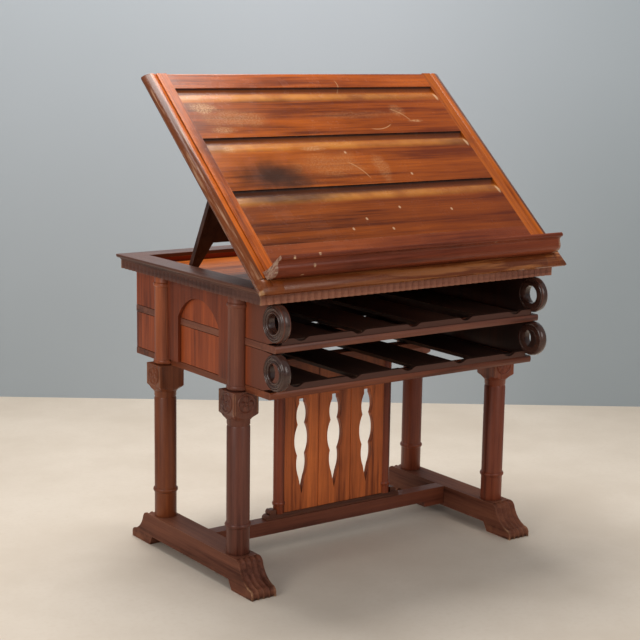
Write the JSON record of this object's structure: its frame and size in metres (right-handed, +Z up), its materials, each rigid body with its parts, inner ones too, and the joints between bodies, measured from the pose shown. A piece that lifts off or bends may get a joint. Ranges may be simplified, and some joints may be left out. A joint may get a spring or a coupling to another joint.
{
  "type": "library lectern",
  "caption": "Standing library lectern: hinged panelled reading board with book stop and folding prop, over sliding book trays, on turned columns and sledge feet.",
  "frame": {"origin": "middle of the whole footprint, on the floor", "axes": "+X to the reader's right along the hinge line, -Y towards the reader, +Z up"},
  "size_m": [1.132, 0.8639, 1.4596],
  "materials": {
    "case_wood": "satin",
    "board_wood": "satin",
    "brass_hinges": "satin"
  },
  "bodies": {
    "stand": {"arch_board_left": "case_wood", "arch_board_right": "case_wood", "cap_front": "case_wood", "cap_left": "case_wood", "cap_rear": "case_wood", "cap_right": "case_wood", "column_front_left": "case_wood", "column_front_right": "case_wood", "column_rear_left": "case_wood", "column_rear_right": "case_wood", "foot_left": "case_wood", "foot_right": "case_wood", "frieze_front": "case_wood", "frieze_left": "case_wood", "frieze_rear": "case_wood", "frieze_right": "case_wood", "half_column_front_left": "case_wood", "half_column_front_right": "case_wood", "half_column_rear_left": "case_wood", "half_column_rear_right": "case_wood", "hinge_cap_leaf_left": "brass_hinges", "hinge_cap_leaf_right": "brass_hinges", "lower_shelf_front": "case_wood", "lower_shelf_middle": "case_wood", "lower_shelf_rear": "case_wood", "lower_shelf_runner_left": "case_wood", "lower_shelf_runner_right": "case_wood", "rack_left": "case_wood", "rack_right": "case_wood", "screen_board_left": "case_wood", "screen_board_middle": "case_wood", "screen_board_right": "case_wood", "screen_colonnette_left": "case_wood", "screen_colonnette_right": "case_wood", "screen_sill": "case_wood", "stretcher": "case_wood", "upper_shelf_front": "case_wood", "upper_shelf_rear": "case_wood", "upper_shelf_runner_left": "case_wood", "upper_shelf_runner_right": "case_wood", "well_floor": "case_wood"},
    "board": {"board_panel_lower": "board_wood", "board_panel_middle": "board_wood", "board_panel_upper": "board_wood", "board_rail_bottom": "board_wood", "board_rail_top": "board_wood", "board_stile_left": "board_wood", "board_stile_right": "board_wood", "book_stop": "board_wood", "hinge_board_leaf_left": "brass_hinges", "hinge_board_leaf_right": "brass_hinges", "prop_hinge_left": "brass_hinges", "prop_hinge_right": "brass_hinges"},
    "prop": {"prop_panel": "board_wood"},
    "upper_tray": {"upper_tray_floor": "case_wood", "upper_tray_side_left": "case_wood", "upper_tray_side_right": "case_wood"},
    "lower_tray": {"lower_tray_floor": "case_wood", "lower_tray_side_left": "case_wood", "lower_tray_side_right": "case_wood"}
  },
  "joints": [
    {"name": "board_tilt", "type": "hinge", "parent": "stand", "child": "board", "pos_m": [0, -0.3817, 0.9015], "axis": [1, 0, 0], "range_deg": [0, 38.25]},
    {"name": "prop_swing", "type": "hinge", "parent": "board", "child": "prop", "pos_m": [0, -0.026, 1.19888], "axis": [1, 0, 0], "range_deg": [-76.5, 0]},
    {"name": "upper_tray_slide", "type": "slide", "parent": "stand", "child": "upper_tray", "axis": [0, -1, 0], "range_m": [0, 0.38]},
    {"name": "lower_tray_slide", "type": "slide", "parent": "stand", "child": "lower_tray", "axis": [0, -1, 0], "range_m": [0, 0.38]}
  ],
  "couplings": [
    {"joint": "prop_swing", "follows": "board_tilt", "ratio": -2}
  ]
}
